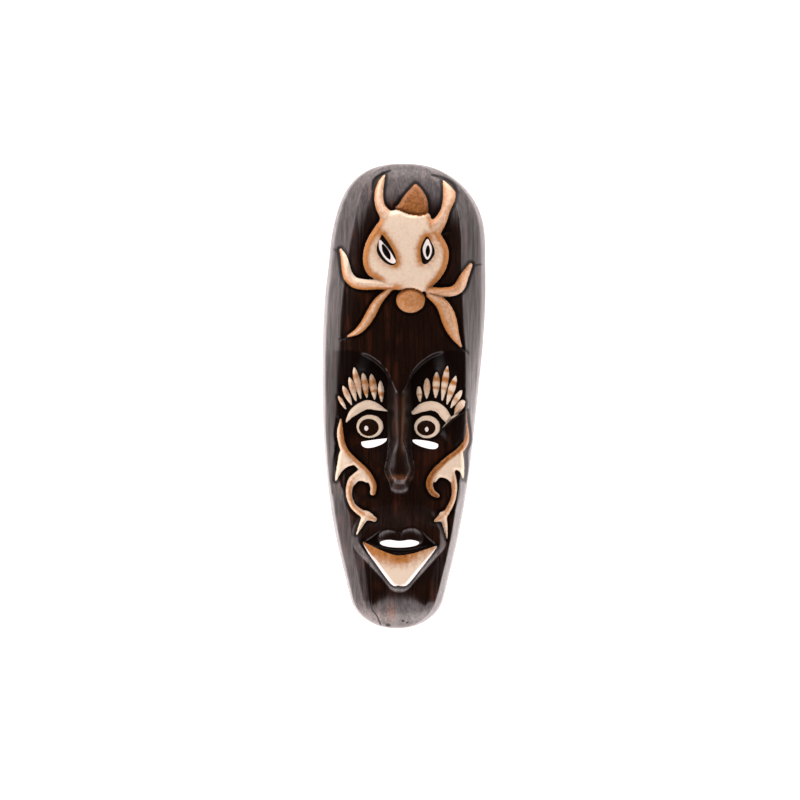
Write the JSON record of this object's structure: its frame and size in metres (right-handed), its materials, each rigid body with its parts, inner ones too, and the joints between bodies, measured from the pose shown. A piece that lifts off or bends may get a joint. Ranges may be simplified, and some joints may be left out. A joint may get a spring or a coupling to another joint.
{
  "type": "wooden wall mask",
  "caption": "Long oval wall mask carved from one half log, with an animal-head relief on the brow, rayed lashes, scrolled cheeks, open eye slits and mouth, hollow behind.",
  "frame": {"origin": "middle of the outline, on the plane of the flat back rim that the mask lies on", "axes": "+Z out of the face, +Y towards the crown, +X to the right of someone looking at the face"},
  "size_m": [0.1758, 0.5, 0.0709],
  "materials": {
    "stained_wood": "dark stain under clear varnish, the carved motifs painted cream and light brown"
  },
  "bodies": {
    "root": {"mask": "stained_wood"}
  },
  "joints": []
}
